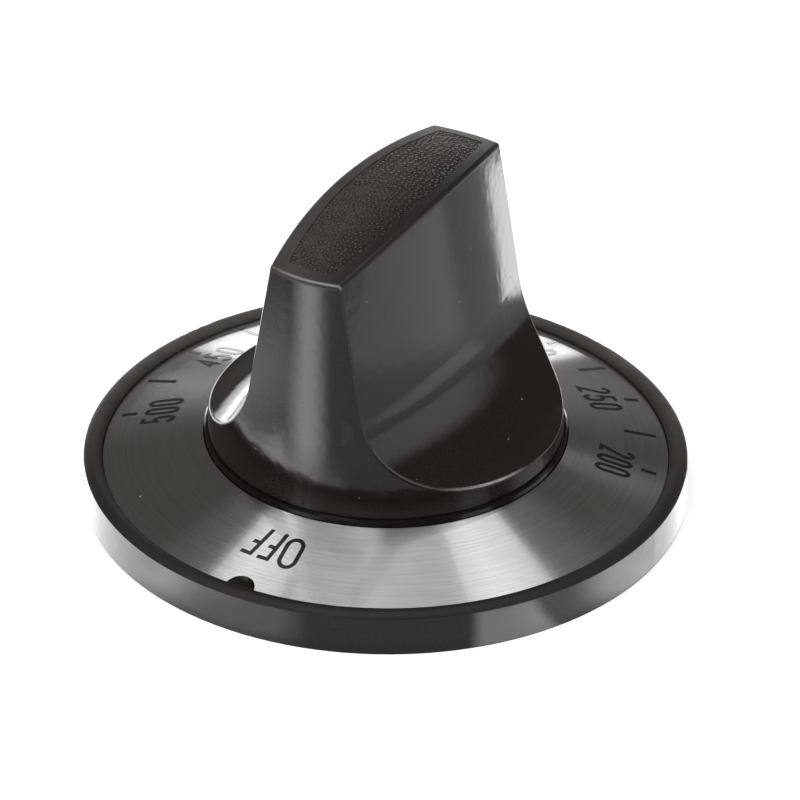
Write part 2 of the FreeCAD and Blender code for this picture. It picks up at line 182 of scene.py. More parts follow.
def makeFloor():
    half = studio["floorSize"] / 2
    mesh = bpy.data.meshes.new("floor")
    mesh.from_pydata([(-half, -half, 0), (half, -half, 0), (half, half, 0), (-half, half, 0)], [], [(0, 1, 2, 3)])
    floor = bpy.data.objects.new("floor", mesh)
    scene.collection.objects.link(floor)
    material = bpy.data.materials.new("paleFloor")
    tree = clearTree(material)
    rays = newNode(tree, "ShaderNodeLightPath")
    mirrored = maths(tree, "MAXIMUM", rays.outputs["Is Glossy Ray"], rays.outputs["Is Transmission Ray"])
    mirrored = maths(tree, "MULTIPLY", mirrored, studio["mirrorGlow"])
    glow = maths(tree, "MULTIPLY_ADD", rays.outputs["Is Camera Ray"], studio["floorGlow"], mirrored)
    paper = newNode(tree, "ShaderNodeBsdfPrincipled", {
        "Base Color": studio["floorColour"], "Roughness": 0.9, "Specular IOR Level": 0.0,
        "Emission Color": (1, 1, 1, 1), "Emission Strength": glow})
    newNode(tree, "ShaderNodeOutputMaterial", {"Surface": paper.outputs[0]})
    mesh.materials.append(material)


def makeRoom():
    world = bpy.data.worlds.new("room")
    scene.world = world
    tree = clearTree(world)
    seen = newNode(tree, "ShaderNodeLightPath").outputs["Is Camera Ray"]
    level = maths(tree, "MAXIMUM", seen, studio["room"])
    colour = mixColour(tree, seen, studio["roomColour"], (1, 1, 1, 1))
    glow = newNode(tree, "ShaderNodeBackground", {"Color": colour, "Strength": level})
    newNode(tree, "ShaderNodeOutputWorld", {"Surface": glow.outputs[0]})


def makeEdgeGroup():
    group, entry, result = newGroup("softEdge", "ShaderNodeTree", [
        ("Soft", "NodeSocketFloat", 0.2),
        ("Ends", "NodeSocketFloat", 0.2),
        ("Narrow", "NodeSocketFloat", 1.0),
    ], [("Level", "NodeSocketFloat")])
    spot = newNode(group, "ShaderNodeSeparateXYZ", {0: newNode(group, "ShaderNodeNewGeometry").outputs["Parametric"]})
    taper = newNode(group, "ShaderNodeMapRange", {
        "Value": spot.outputs["Y"], "To Min": 1.0, "To Max": entry.outputs["Narrow"]}).outputs[0]
    across = maths(group, "ABSOLUTE", maths(group, "MULTIPLY_ADD", spot.outputs["X"], 2.0, -1.0))
    across = maths(group, "DIVIDE", across, taper)
    along = maths(group, "ABSOLUTE", maths(group, "MULTIPLY_ADD", spot.outputs["Y"], 2.0, -1.0))
    fades = [newNode(group, "ShaderNodeMapRange", {
        "Value": value, "From Min": maths(group, "SUBTRACT", 1.0, entry.outputs[soft]), "From Max": 1.0,
        "To Min": 1.0, "To Max": 0.0}, interpolation_type="SMOOTHSTEP").outputs[0]
        for value, soft in ((across, "Soft"), (along, "Ends"))]
    group.links.new(maths(group, "MULTIPLY", fades[0], fades[1]), result.inputs["Level"])
    return group


softEdge = makeEdgeGroup()


def makeLamp(name, width, height, narrow, soft, ends, level, place):
    data = bpy.data.lights.new(name, "AREA")
    data.shape = "RECTANGLE"
    data.size, data.size_y = width, height
    data.energy = level * math.pi * width * height
    tree = clearTree(data)
    edge = useGroup(tree, softEdge, {"Soft": soft, "Ends": ends, "Narrow": narrow})
    glow = newNode(tree, "ShaderNodeEmission", {"Strength": edge.outputs["Level"]})
    newNode(tree, "ShaderNodeOutputLight", {"Surface": glow.outputs[0]})
    lamp = bpy.data.objects.new(name, data)
    scene.collection.objects.link(lamp)
    lamp.matrix_world = place
    return lamp


def makeSoftboxes():
    for name, turn, elevation, distance, width, height, soft, level in studio["softboxes"]:
        towards = direction(view["azimuth"] + turn, elevation)
        place = Matrix.Translation(view["target"] + towards * distance) @ \
            towards.to_track_quat("Z", "Y").to_matrix().to_4x4()
        makeLamp(name, width, height, 1.0, soft, soft, level, place)


def layFlat(right, back, height, turn):
    square = Matrix.Rotation(math.radians(view["azimuth"]), 4, "Z")  # lined up with the camera
    spot = Matrix.Translation((right * mm, back * mm, height * mm))
    return square @ spot @ Matrix.Rotation(math.radians(turn), 4, "Z")


def makeCeiling():
    for i, (name, right, back, turn, width, length, narrow, soft, level) in enumerate(studio["ceilingBoxes"]):
        place = layFlat(right, back, studio["ceiling"] + studio["ceilingStep"] * i, turn)
        makeLamp(name, width * mm, length * mm, narrow, soft, soft, level, place)


def makePanels():
    upwards = Matrix.Rotation(math.pi, 4, "Y")
    for i, (name, right, back, turn, width, length, narrow, soft, level) in enumerate(studio["panels"]):
        place = layFlat(right, back, studio["panelStep"] * (i + 1), turn) @ upwards
        panel = makeLamp(name, width * mm, length * mm, narrow, soft, min(soft, studio["panelEnds"]), level, place)
        panel.visible_camera = False
        panel.visible_diffuse = False


makeFloor()
makeRoom()
makeSoftboxes()
makeCeiling()
makePanels()
print("studio set")


# effects that more than one finish uses
def makeDustGroup():
    group, entry, result = newGroup("dustSpecks", "ShaderNodeTree", [
        ("Vector", "NodeSocketVector", None),
        ("Spacing", "NodeSocketFloat", 3.0),
        ("Size", "NodeSocketFloat", 0.08),
        ("Share", "NodeSocketFloat", 0.3),
    ], [("Mask", "NodeSocketFloat")])
    scale = maths(group, "DIVIDE", 1000.0, entry.outputs["Spacing"])
    cells = newNode(group, "ShaderNodeTexVoronoi", {"Vector": entry.outputs["Vector"], "Scale": scale},
                    voronoi_dimensions="3D", feature="F1")
    pick = newNode(group, "ShaderNodeSeparateColor", {0: cells.outputs["Color"]})
    reach = maths(group, "DIVIDE", entry.outputs["Size"], entry.outputs["Spacing"])
    reach = maths(group, "MULTIPLY", reach, pick.outputs["Green"])
    inside = maths(group, "LESS_THAN", cells.outputs["Distance"], reach)
    chosen = maths(group, "LESS_THAN", pick.outputs["Red"], entry.outputs["Share"])
    mask = maths(group, "MULTIPLY", inside, chosen)
    group.links.new(mask, result.inputs["Mask"])
    return group


def makeHandlingGroup():
    group, entry, result = newGroup("handledGloss", "ShaderNodeTree", [
        ("Vector", "NodeSocketVector", None),
        ("Patch", "NodeSocketFloat", 6.0),
        ("Low", "NodeSocketFloat", 0.2),
        ("High", "NodeSocketFloat", 0.3),
    ], [("Roughness", "NodeSocketFloat"), ("Patches", "NodeSocketFloat")])
    scale = maths(group, "DIVIDE", 1000.0, entry.outputs["Patch"])
    cloud = newNode(group, "ShaderNodeTexNoise", {
        "Vector": entry.outputs["Vector"], "Scale": scale, "Detail": 4.0, "Roughness": 0.6})
    patches = newNode(group, "ShaderNodeMapRange", {
        "Value": cloud.outputs[0], "From Min": 0.3, "From Max": 0.7,
        "To Min": entry.outputs["Low"], "To Max": entry.outputs["High"]})
    group.links.new(patches.outputs[0], result.inputs["Roughness"])
    group.links.new(cloud.outputs[0], result.inputs["Patches"])
    return group


dustSpecks = makeDustGroup()
handledGloss = makeHandlingGroup()


def newMaterial(name):
    material = bpy.data.materials.new(name)
    tree = clearTree(material)
    place = newNode(tree, "ShaderNodeTexCoord").outputs["Object"]
    return material, tree, place


# the crown's arch, mm: the finish and the grain follow it
crownArch = {"top": 35.3, "radius": 84.8, "shift": 1.1}

# black moulding: warm charcoal, glossy, faint orange peel, a little dust, hazy where hands rub it; partly painted
# light: a lighter haze on the crown's left and the lip's far side, painted shade on the lip's near side, the crown's
# right and the hub's foot, and a painted highlight along the scoops' near edges
moulding = {
    "colour": (0.0268, 0.0200, 0.0160, 1),
    "speckleColour": (0.0194, 0.0145, 0.0116, 1),
    # haze colour, partly wear and partly painted light: lighter on the crown's left and back and on the lip's far side
    "hazeAndPaintedLight": (0.130, 0.117, 0.107, 1),
    # edge: painted highlight, a pale line along the scoops' near edges
    "edge": (0.80, 0.79, 0.77, 1),
    # painted shade: darkens the lip's near side, the crown's right and the hub's foot
    "paintedShade": (0.0110, 0.0075, 0.0058, 1),
    "dust": (0.32, 0.305, 0.285, 1),
    "dustSpacing": 2.1,
    "dustSize": 0.15,
    "dustShare": 0.55,
    "dustRough": 0.9,
    "glossPatch": 7.0,
    "glossLow": 0.09,
    "glossHigh": 0.14,
    "wornPatch": 2.2,
    "wornLow": 0.55,
    "wornHigh": 1.0,
    "lipGloss": 0.60,
    "peel": 1.0,  # width of the orange peel, mm
    "peelDepth": 0.012,  # mm
    "speckle": 0.20,  # width of the fine moulded speckle, mm
    "speckleRange": (0.35, 0.65),
    # zones in mm, a pair being where a band starts and where it is full
    "crownFade": (-0.7, -0.25),  # from the crown's top
    "hazeAcross": (4.0, -2.0),  # the crown is hazier on the left, partly painted light
    "hazeAcrossShare": 0.58,
    "hazeAlong": (8.0, 17.0),  # and away from OFF
    "hazeAlongShare": 0.65,
    "hazeLeast": 0.02,
    "shadeAcross": (2.4, 4.4),  # painted shade on the crown's right
    "shadeShare": 0.7,
    "lipInner": 29.6,
    "lipStart": (-0.2, 0.2),
    "lipSide": 4.15,
    "lipTop": (-0.25, 0.15),
    "lipWall": (3.0, 3.4),
    "lipWallIn": (-0.3, -0.1),
    "lipWallOut": (1.0, 0.6),
    "lipFade": (-0.1, 1.2),  # haze, partly painted light, grows outwards
    "lipHaze": 0.65,
    "lipHazeLeast": 0.40,
    "lipShadeShare": 0.75,
    "away": (-0.489, 0.872),  # direction of the far side, where the lip gets painted light
    "awayFade": (-18.0, 20.0),
    "footTop": 7.7,
    "footAbove": (0.2, -0.1),
    "footBelow": (-2.0, -1.5),
    "hubFoot": 18.63,
    "hubTaper": 0.0612,
    "edgeIn": (0.04, 0.08),  # painted highlight line, in from the hub's turned wall
    "edgeOut": (0.27, 0.20),
    "edgeFoot": (0.6, 1.0),
    "edgeLow": (10.6, 9.2),  # most low on the scoops
    "edgeCrown": 0.5,
    "edgeLeast": 0.04,
    "edgeNear": (-11.0, -15.0),
}


def smoothBand(tree, value, band, base=0.0):
    low, high = band
    return newNode(tree, "ShaderNodeMapRange", {
        "Value": value, "From Min": (base + low) * mm, "From Max": (base + high) * mm},
        interpolation_type="SMOOTHSTEP").outputs[0]


# zones for the haze (partly painted light), the painted shade and the painted highlight, and the crown and lip finishes
def makeZoneGroup():
    tree, entry, result = newGroup("lightShadeAndWearZones", "ShaderNodeTree", [("Vector", "NodeSocketVector", None)], [
        (label, "NodeSocketFloat") for label in ("Haze", "Crown", "Lip", "PaintedShade", "Edge")])
    x, y, z = newNode(tree, "ShaderNodeSeparateXYZ", {0: entry.outputs["Vector"]}).outputs
    along = maths(tree, "SUBTRACT", y, crownArch["shift"] * mm)
    drop = times(tree, along, along, 0.5 / (crownArch["radius"] * mm))
    level = maths(tree, "ADD", z, drop)  # height as if the crown were level
    crown = smoothBand(tree, level, moulding["crownFade"], crownArch["top"])
    across = smoothBand(tree, x, moulding["hazeAcross"])
    crownHaze = maths(tree, "MULTIPLY_ADD", across, moulding["hazeAcrossShare"], moulding["hazeLeast"])
    crownHaze = maths(tree, "MULTIPLY_ADD", smoothBand(tree, y, moulding["hazeAlong"]), moulding["hazeAlongShare"], crownHaze)

    flat = newNode(tree, "ShaderNodeCombineXYZ", {"X": x, "Y": y}).outputs[0]
    reach = newNode(tree, "ShaderNodeVectorMath", {0: flat}, operation="LENGTH").outputs["Value"]
    lip = times(tree, smoothBand(tree, reach, moulding["lipStart"], moulding["lipInner"]),
                smoothBand(tree, z, moulding["lipTop"], moulding["lipSide"]))
    innerWall = times(tree, smoothBand(tree, z, moulding["lipWall"]),
                      smoothBand(tree, reach, moulding["lipWallIn"], moulding["lipInner"]),
                      smoothBand(tree, reach, moulding["lipWallOut"], moulding["lipInner"]))
    lip = maths(tree, "MAXIMUM", lip, innerWall)
    awayX, awayY = moulding["away"]
    away = maths(tree, "MULTIPLY_ADD", x, awayX, maths(tree, "MULTIPLY", y, awayY))
    farSide = smoothBand(tree, away, moulding["awayFade"])
    outer = smoothBand(tree, reach, moulding["lipFade"], moulding["lipInner"])
    lipHaze = maths(tree, "MULTIPLY_ADD", outer, moulding["lipHaze"], moulding["lipHazeLeast"])
    # haze: partly wear, partly painted light on the crown's left and back and on the lip's far side
    haze = maths(tree, "MAXIMUM", times(tree, crown, crownHaze), times(tree, lip, farSide, lipHaze))

    # painted shade at the hub's foot where it meets the dial, on the lip's near side and on the crown's right
    foot = times(tree, smoothBand(tree, z, moulding["footAbove"], moulding["footTop"]),
                 smoothBand(tree, z, moulding["footBelow"], moulding["footTop"]))
    nearSide = maths(tree, "MULTIPLY_ADD", farSide, -moulding["lipShadeShare"], moulding["lipShadeShare"])
    shaded = times(tree, crown, smoothBand(tree, x, moulding["shadeAcross"]), moulding["shadeShare"])
    paintedShade = maths(tree, "MAXIMUM", times(tree, lip, nearSide), shaded)
    paintedShade = maths(tree, "MAXIMUM", paintedShade, foot)

    # painted highlight: a pale line along the scoops' near edges, in from the hub's turned wall
    hubEdge = moulding["hubFoot"] + moulding["hubTaper"] * moulding["footTop"]
    wall = maths(tree, "MULTIPLY_ADD", z, -moulding["hubTaper"], hubEdge * mm)
    inside = maths(tree, "SUBTRACT", wall, reach)  # how far in from the hub's turned wall
    highlightStrength = times(tree, crown, moulding["edgeCrown"])
    highlightStrength = maths(tree, "MAXIMUM", smoothBand(tree, z, moulding["edgeLow"]), highlightStrength)
    highlightStrength = maths(tree, "MAXIMUM", highlightStrength, moulding["edgeLeast"])
    edge = times(tree, smoothBand(tree, inside, moulding["edgeIn"]), smoothBand(tree, inside, moulding["edgeOut"]),
                 smoothBand(tree, z, moulding["edgeFoot"], moulding["footTop"]), highlightStrength,
                 smoothBand(tree, away, moulding["edgeNear"]))
    for label, value in (("Haze", haze), ("Crown", crown), ("Lip", lip), ("PaintedShade", paintedShade), ("Edge", edge)):
        tree.links.new(value, result.inputs[label])
    return tree


def makeSkinGroup():
    group, entry, result = newGroup("mouldedSkin", "ShaderNodeTree", [
        ("Vector", "NodeSocketVector", None),
        ("Speckle", "NodeSocketFloat", 0.2),
        ("Peel", "NodeSocketFloat", 1.0),
    ], [("Speckle", "NodeSocketFloat"), ("Peel", "NodeSocketFloat")])
    least, most = moulding["speckleRange"]
    fine = newNode(group, "ShaderNodeTexNoise", {
        "Vector": entry.outputs["Vector"], "Scale": maths(group, "DIVIDE", 1000.0, entry.outputs["Speckle"])})
    speckle = newNode(group, "ShaderNodeMapRange", {"Value": fine.outputs[0], "From Min": least, "From Max": most})
    peel = newNode(group, "ShaderNodeTexNoise", {
        "Vector": entry.outputs["Vector"], "Scale": maths(group, "DIVIDE", 1000.0, entry.outputs["Peel"]),
        "Detail": 0.8, "Roughness": 0.4})
    group.links.new(speckle.outputs[0], result.inputs["Speckle"])
    group.links.new(peel.outputs[0], result.inputs["Peel"])
    return group


lightShadeAndWearZones = makeZoneGroup()
mouldedSkin = makeSkinGroup()


def makeMoulding(name, crownGloss, hazeShare):
    material, tree, place = newMaterial(name)
    dust = useGroup(tree, dustSpecks, {
        "Vector": place, "Spacing": moulding["dustSpacing"],
        "Size": moulding["dustSize"], "Share": moulding["dustShare"]}).outputs["Mask"]
    gloss = useGroup(tree, handledGloss, {
        "Vector": place, "Patch": moulding["glossPatch"],
        "Low": moulding["glossLow"], "High": moulding["glossHigh"]}).outputs["Roughness"]
    worn = useGroup(tree, handledGloss, {
        "Vector": place, "Patch": moulding["wornPatch"],
        "Low": moulding["wornLow"], "High": moulding["wornHigh"]}).outputs["Roughness"]
    skin = useGroup(tree, mouldedSkin, {
        "Vector": place, "Speckle": moulding["speckle"], "Peel": moulding["peel"]}).outputs
    zones = useGroup(tree, lightShadeAndWearZones, {"Vector": place}).outputs
    colour = mixColour(tree, skin["Speckle"], moulding["speckleColour"], moulding["colour"])
    # mixes the haze (partly painted light), painted shade, a painted highlight and dust into the colour
    for share, tint in ((times(tree, zones["Haze"], worn, hazeShare), "hazeAndPaintedLight"), (zones["PaintedShade"], "paintedShade"),
                        (times(tree, zones["Edge"], worn), "edge"), (dust, "dust")):
        colour = mixColour(tree, share, colour, moulding[tint])
    rough = mixValue(tree, zones["Crown"], gloss, crownGloss)
    rough = mixValue(tree, zones["Lip"], rough, moulding["lipGloss"])
    rough = maths(tree, "MAXIMUM", rough, times(tree, dust, moulding["dustRough"]))
    bump = newNode(tree, "ShaderNodeBump", {
        "Strength": 1.0, "Distance": moulding["peelDepth"] * mm, "Height": skin["Peel"]})
    shader = newNode(tree, "ShaderNodeBsdfPrincipled", {
        "Base Color": colour, "Roughness": rough, "IOR": 1.5, "Normal": bump.outputs[0]})
    newNode(tree, "ShaderNodeOutputMaterial", {"Surface": shader.outputs[0]})
    return material


# brushed dial: turned aluminium, streaks run round the axis, thin lacquer on top
brushed = {
    "colour": (0.73, 0.73, 0.715, 1),
    "streakColour": (0.55, 0.55, 0.54, 1),
    "streakWidth": 0.10,  # mm across
    "streakTurns": 2.6,  # how often a streak changes round the dial
    "streakRange": (0.26, 0.74),
    "streakDepth": 0.0024,  # mm
    "rough": 0.215,
    "roughPatch": 9.0,
    "roughPatchSpread": 0.04,
    "roughSpread": 0.06,
    "dustSpacing": 3.4,
    "dustSize": 0.15,
    "dustShare": 0.25,
    "lacquerPatch": 1.6,
    "lacquerLow": 0.55,
    "lacquerHigh": 1.0,
}


def makeBrushed():
    material, tree, place = newMaterial("brushedDial")
    x, y = newNode(tree, "ShaderNodeSeparateXYZ", {0: place}).outputs[:2]
    flat = newNode(tree, "ShaderNodeCombineXYZ", {"X": x, "Y": y}).outputs[0]
    reach = newNode(tree, "ShaderNodeVectorMath", {0: flat}, operation="LENGTH").outputs["Value"]
    bearing = newNode(tree, "ShaderNodeVectorMath", {0: flat}, operation="NORMALIZE").outputs[0]
    spread = newNode(tree, "ShaderNodeVectorMath", {0: bearing, "Scale": brushed["streakTurns"]}, operation="SCALE")
    turned = newNode(tree, "ShaderNodeSeparateXYZ", {0: spread.outputs[0]}).outputs
    depth = maths(tree, "MULTIPLY", reach, 1 / (brushed["streakWidth"] * mm))
    lines = newNode(tree, "ShaderNodeCombineXYZ", {"X": turned["X"], "Y": turned["Y"], "Z": depth}).outputs[0]
    streaks = newNode(tree, "ShaderNodeTexNoise", {
        "Vector": lines, "Scale": 1.0, "Detail": 3.0, "Roughness": 0.65}).outputs[0]
    dust = useGroup(tree, dustSpecks, {
        "Vector": place, "Spacing": brushed["dustSpacing"],
        "Size": brushed["dustSize"], "Share": brushed["dustShare"]}).outputs["Mask"]
    gloss = useGroup(tree, handledGloss, {
        "Vector": place, "Patch": brushed["roughPatch"],
        "Low": brushed["rough"] - brushed["roughPatchSpread"],
        "High": brushed["rough"] + brushed["roughPatchSpread"]}).outputs["Roughness"]
    lacquer = useGroup(tree, handledGloss, {
        "Vector": place, "Patch": brushed["lacquerPatch"],
        "Low": brushed["lacquerLow"], "High": brushed["lacquerHigh"]}).outputs["Roughness"]
    least, most = brushed["streakRange"]
    contrast = newNode(tree, "ShaderNodeMapRange", {"Value": streaks, "From Min": least, "From Max": most}).outputs[0]
    colour = mixColour(tree, contrast, brushed["streakColour"], brushed["colour"])
    swing = times(tree, maths(tree, "SUBTRACT", streaks, 0.5), brushed["roughSpread"])
    rough = maths(tree, "ADD", gloss, swing)
    metal = maths(tree, "SUBTRACT", 1.0, dust)
    bump = newNode(tree, "ShaderNodeBump", {
        "Strength": 1.0, "Distance": brushed["streakDepth"] * mm, "Height": streaks})
    shader = newNode(tree, "ShaderNodeBsdfPrincipled", {
        "Base Color": colour, "Metallic": metal, "Roughness": rough,
        "Anisotropic": 1.0, "Anisotropic Rotation": 0.25, "Normal": bump.outputs[0],
        "Coat Weight": lacquer, "Coat Roughness": 0.05, "Coat IOR": 1.75})
    newNode(tree, "ShaderNodeOutputMaterial", {"Surface": shader.outputs[0]})
    return material


# printed ink: flat black, glossy only at a low angle
inkFinish = {
    "thin": (0.010, 0.010, 0.010, 1),
    "full": (0.020, 0.019, 0.018, 1),
    "patch": 1.2,
    "roughLow": 0.38,
    "roughHigh": 0.55,
    "sheenStart": 0.58,
    "sheenEnd": 0.68,
    "sheenLeast": 0.15,
}


def makeInk():
    material, tree, place = newMaterial("dialInk")
    gloss = useGroup(tree, handledGloss, {
        "Vector": place, "Patch": inkFinish["patch"],
        "Low": inkFinish["roughLow"], "High": inkFinish["roughHigh"]}).outputs
    facing = newNode(tree, "ShaderNodeLayerWeight", {"Blend": 0.5}).outputs["Facing"]
    sheen = newNode(tree, "ShaderNodeMapRange", {
        "Value": facing, "From Min": inkFinish["sheenStart"], "From Max": inkFinish["sheenEnd"],
        "To Min": inkFinish["sheenLeast"]}, interpolation_type="SMOOTHSTEP").outputs[0]
    shader = newNode(tree, "ShaderNodeBsdfPrincipled", {
        "Base Color": mixColour(tree, gloss["Patches"], inkFinish["thin"], inkFinish["full"]),
        "Roughness": gloss["Roughness"], "Specular IOR Level": 0.1,
        "Coat Weight": sheen, "Coat Roughness": 0.05, "Coat IOR": 2.0})
    newNode(tree, "ShaderNodeOutputMaterial", {"Surface": shader.outputs[0]})
    return material


# tempered spring steel
springFinish = {
    "dull": (0.42, 0.42, 0.43, 1),
    "bright": (0.60, 0.59, 0.57, 1),
    "patch": 1.5,
    "roughLow": 0.22,
    "roughHigh": 0.42,
}


def makeSteel():
    material, tree, place = newMaterial("springSteel")
    gloss = useGroup(tree, handledGloss, {
        "Vector": place, "Patch": springFinish["patch"],
        "Low": springFinish["roughLow"], "High": springFinish["roughHigh"]}).outputs
    shader = newNode(tree, "ShaderNodeBsdfPrincipled", {
        "Base Color": mixColour(tree, gloss["Patches"], springFinish["dull"], springFinish["bright"]),
        "Metallic": 1.0, "Roughness": gloss["Roughness"]})
    newNode(tree, "ShaderNodeOutputMaterial", {"Surface": shader.outputs[0]})
    return material


mouldedBlack = makeMoulding("mouldedBlack", crownGloss=0.42, hazeShare=1.0)
grainedBlack = makeMoulding("grainedBlack", crownGloss=0.20, hazeShare=0.55)  # its pebbles keep their gloss
brushedDial = makeBrushed()
dialInk = makeInk()
springSteel = makeSteel()


def dress(node, material):
    node.data.materials.clear()
    node.data.materials.append(material)


dress(knobBody, mouldedBlack)
dress(dialPlate, brushedDial)
dress(shaftSpring, springSteel)
print("finishes made")


def newPiece(name, mesh, material):
    piece = bpy.data.objects.new(name, mesh)
    scene.collection.objects.link(piece)
    if material.name not in mesh.materials:
        mesh.materials.append(material)
    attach(piece, "root")
    return piece


def bakeModifier(holder, name):
    depsgraph = bpy.context.evaluated_depsgraph_get()
    mesh = bpy.data.meshes.new_from_object(holder.evaluated_get(depsgraph), depsgraph=depsgraph)
    mesh.name = name
    bpy.data.objects.remove(holder)
    return mesh


# the dial's cone, read from its own mesh
dialPoints = [v.co for v in dialPlate.data.vertices]
dialPeak = max(p.z for p in dialPoints)
dialInner = min(math.hypot(p.x, p.y) for p in dialPoints)
dialSlope = math.radians(14.8)  # fall of the cone


def dialHeight(radius):
    return dialPeak - (radius - dialInner) * math.tan(dialSlope)


# scale marks on the dial
marks = {
    "first": -72.6,  # degrees from OFF to the hottest mark
    "step": -14.8,  # degrees for each 25
    "hottest": 500,
    "coolest": 200,
    "tickOuter": 28.55 * mm,
    "shortInner": 26.95 * mm,
    "longInner": 25.15 * mm,
    "tickWidth": 0.48 * mm,
    "ink": 0.022 * mm,  # print above the metal
    "sunk": 0.010 * mm,
}


def makeTickTree():
    group, entry, result = newGroup("tickRing", "GeometryNodeTree", [
        ("Geometry", "NodeSocketGeometry", None),
        ("Count", "NodeSocketInt", 7),
        ("First", "NodeSocketFloat", 0.0),
        ("Step", "NodeSocketFloat", 0.1),
        ("Radius", "NodeSocketFloat", 0.027),
        ("Height", "NodeSocketFloat", 0.004),
        ("Length", "NodeSocketFloat", 0.002),
        ("Width", "NodeSocketFloat", 0.0004),
        ("Thickness", "NodeSocketFloat", 0.00003),
        ("Slope", "NodeSocketFloat", 0.25),
        ("Material", "NodeSocketMaterial", None),
    ], [("Geometry", "NodeSocketGeometry")])
    size = newNode(group, "ShaderNodeCombineXYZ", {
        "X": entry.outputs["Width"], "Y": entry.outputs["Length"], "Z": entry.outputs["Thickness"]})
    bar = newNode(group, "GeometryNodeMeshCube", {"Size": size.outputs[0]})
    back = maths(group, "MULTIPLY", entry.outputs["Radius"], -1.0)
    place = newNode(group, "ShaderNodeCombineXYZ", {"Y": back, "Z": entry.outputs["Height"]})
    tilt = newNode(group, "ShaderNodeCombineXYZ", {"X": entry.outputs["Slope"]})
    laid = newNode(group, "GeometryNodeTransform", {
        "Geometry": bar.outputs["Mesh"], "Translation": place.outputs[0], "Rotation": tilt.outputs[0]})
    points = newNode(group, "GeometryNodeMeshLine", {"Count": entry.outputs["Count"], "Offset": (0, 0, 0)})
    index = newNode(group, "GeometryNodeInputIndex").outputs[0]
    angle = maths(group, "MULTIPLY_ADD", index, entry.outputs["Step"], entry.outputs["First"])
    turn = newNode(group, "ShaderNodeCombineXYZ", {"Z": angle})
    ring = newNode(group, "GeometryNodeInstanceOnPoints", {
        "Points": points.outputs["Mesh"], "Instance": laid.outputs["Geometry"], "Rotation": turn.outputs[0]})
    solid = newNode(group, "GeometryNodeRealizeInstances", {"Geometry": ring.outputs["Instances"]})
    inked = newNode(group, "GeometryNodeSetMaterial", {
        "Geometry": solid.outputs["Geometry"], "Material": entry.outputs["Material"]})
    group.links.new(inked.outputs["Geometry"], result.inputs["Geometry"])
    return group


def setInputs(modifier, values):
    sockets = {s.name: s.identifier for s in modifier.node_group.interface.items_tree if s.in_out == "INPUT"}
    for name, value in values.items():
        modifier[sockets[name]] = value


tickRing = makeTickTree()


def makeTicks(name, count, first, step, inner):
    middle = (inner + marks["tickOuter"]) / 2
    holder = bpy.data.objects.new(name + "Holder", bpy.data.meshes.new(name + "Holder"))
    scene.collection.objects.link(holder)
    modifier = holder.modifiers.new("tickRing", "NODES")
    modifier.node_group = tickRing
    setInputs(modifier, {
        "Count": count, "First": math.radians(first), "Step": math.radians(step),
        "Radius": middle, "Height": dialHeight(middle) + (marks["ink"] - marks["sunk"]) / 2,
        "Length": (marks["tickOuter"] - inner) / math.cos(dialSlope), "Width": marks["tickWidth"],
        "Thickness": marks["ink"] + marks["sunk"], "Slope": dialSlope, "Material": dialInk})
    return newPiece(name, bakeModifier(holder, name), dialInk)


fifties = (marks["hottest"] - marks["coolest"]) // 50
makeTicks("shortTicks", fifties + 1, marks["first"], 2 * marks["step"], marks["shortInner"])
makeTicks("longTicks", fifties, marks["first"] + marks["step"], 2 * marks["step"], marks["longInner"])
print("ticks printed")

# figures and OFF: thin strokes of even width, tops outwards
lettering = {
    "stroke": 0.42 * mm,
    "figureFoot": 22.27 * mm,
    "figureHeight": 3.78 * mm,
    "figureWidth": 1.36 * mm,
    "figureGap": 0.36 * mm,
    "offStroke": 0.44 * mm,
    "offHeight": 4.10 * mm,
    "offLetters": [  # letter, degrees, foot and width in mm, lean
        ("O", 6.2, 21.84, 2.12, 0.0),
        ("F", 0.2, 21.46, 1.62, 0.07),
        ("F", -4.35, 21.42, 1.62, 0.09),
    ],
}


def bow(cx, cy, rx, ry, start, end, steps=14):
    points = []
    for i in range(steps + 1):
        a = math.radians(start + (end - start) * i / steps)
        points.append((cx + rx * math.cos(a), cy + ry * math.sin(a)))
    return points


# centre lines in a box of one by one; True closes the stroke
glyphs = {
    "0": [(bow(0.5, 0.76, 0.5, 0.24, 0, 180) + bow(0.5, 0.24, 0.5, 0.24, 180, 360), True)],
    "2": [(bow(0.5, 0.77, 0.5, 0.23, 168, -24) + [(0.0, 0.0), (1.0, 0.0)], False)],
    "3": [(bow(0.47, 0.77, 0.5, 0.23, 155, -90) + bow(0.47, 0.27, 0.53, 0.27, 90, -155), False)],
    "4": [([(0.74, 0.0), (0.74, 1.0), (0.0, 0.27), (1.05, 0.27)], False)],
    "5": [([(0.94, 1.0), (0.12, 1.0), (0.06, 0.53)] + bow(0.46, 0.31, 0.52, 0.31, 128, -158), False)],
    "O": [(bow(0.5, 0.74, 0.5, 0.26, 0, 180) + bow(0.5, 0.26, 0.5, 0.26, 180, 360), True)],
    "F": [([(0.0, 0.0), (0.0, 1.0), (1.0, 1.0)], False), ([(0.0, 0.56), (0.72, 0.56)], False)],
}


def strokeSides(points, closed, half):
    sides = []
    count = len(points)
    for i, point in enumerate(points):
        before = points[i - 1] if closed or i > 0 else None
        after = points[(i + 1) % count] if closed or i < count - 1 else None
        runs = [(b - a).normalized() for a, b in ((before, point), (point, after)) if a and b]
        along = sum(runs, Vector((0, 0))).normalized()
        across = Vector((-along.y, along.x))
        reach = half / max(along.dot(runs[0]), 0.45)  # mitre at a corner
        sides.append((point + across * reach, point - across * reach))
    return sides


